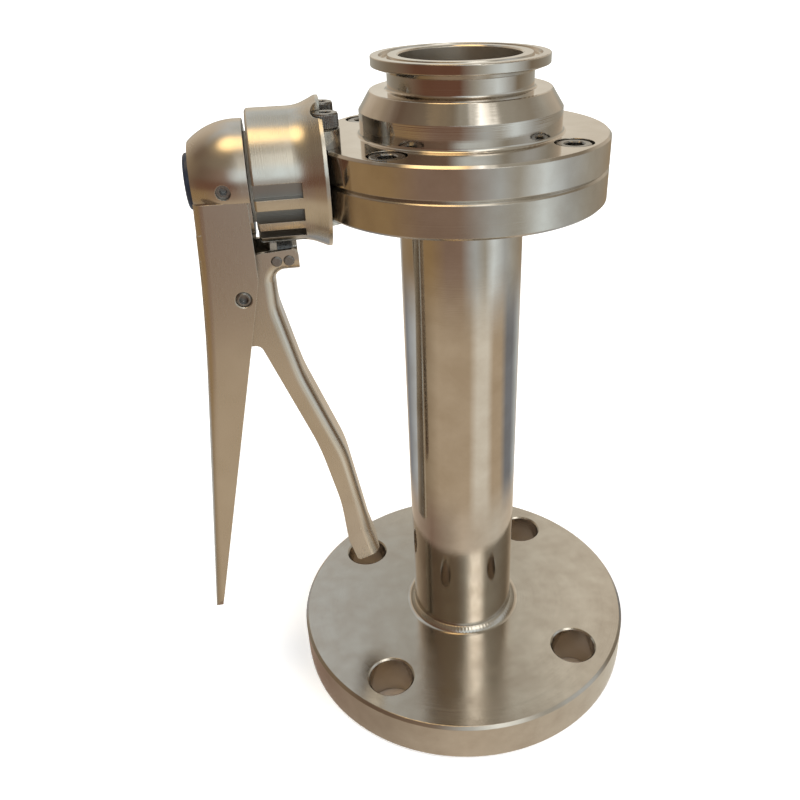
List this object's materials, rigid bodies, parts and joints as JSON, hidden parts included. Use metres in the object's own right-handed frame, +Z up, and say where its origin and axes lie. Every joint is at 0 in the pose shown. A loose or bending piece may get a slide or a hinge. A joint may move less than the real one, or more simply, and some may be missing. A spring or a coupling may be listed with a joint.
{
  "type": "flap valve",
  "caption": "Hygienic flap valve on a flanged stand pipe, with a clamp ferrule on top and a squeeze-trigger lever that locks in a slotted drum.",
  "frame": {"origin": "centre of the pipe flange's underside", "axes": "+Z up the pipe to the clamp ferrule, the stem and its lever towards -X, the lever swings towards -Y"},
  "size_m": [0.1574, 0.127, 0.22],
  "materials": {
    "flange_steel": "satin turned",
    "polished_steel": "mirror polished",
    "drum_steel": "satin",
    "lever_steel": "satin, tumbled",
    "screw_steel": "plain",
    "spring_steel": "plain",
    "seal_rubber": "matte",
    "bush_plastic": "matte",
    "blue_plastic": "satin"
  },
  "bodies": {
    "valve_body": {"base_flange": "flange_steel", "outlet_pipe": "polished_steel", "lower_body": "polished_steel", "upper_body": "polished_steel", "seat_ring": "seal_rubber", "drive_bush": "bush_plastic", "blind_bush": "bush_plastic", "stem_seal": "seal_rubber", "body_screw_set": "screw_steel", "index_drum": "drum_steel", "drum_bush": "bush_plastic", "ear_screw_set": "screw_steel", "thrust_washer": "bush_plastic"},
    "lever": {"flap_and_stem": "polished_steel", "lever_head": "lever_steel", "end_plug": "blue_plastic", "grub_screw": "screw_steel", "lever_channel": "lever_steel", "trigger_pin": "screw_steel", "pin_sleeves": "screw_steel", "trigger_spring": "spring_steel"},
    "trigger": {"trigger_channel": "lever_steel", "trigger_pawl": "lever_steel", "pawl_rivets": "screw_steel"}
  },
  "joints": [
    {"name": "lever_turn", "type": "hinge", "parent": "valve_body", "child": "lever", "pos_m": [0, 0, 0.19], "axis": [-1, 0, 0], "range_deg": [0, 90]},
    {"name": "trigger_squeeze", "type": "hinge", "parent": "lever", "child": "trigger", "pos_m": [-0.0675, 0, 0.159], "axis": [0, 1, 0], "range_deg": [-5.5, 12], "stiffness_Nm_per_rad": 0.15, "springref_deg": -68.75, "deforming": ["trigger_spring"]}
  ]
}
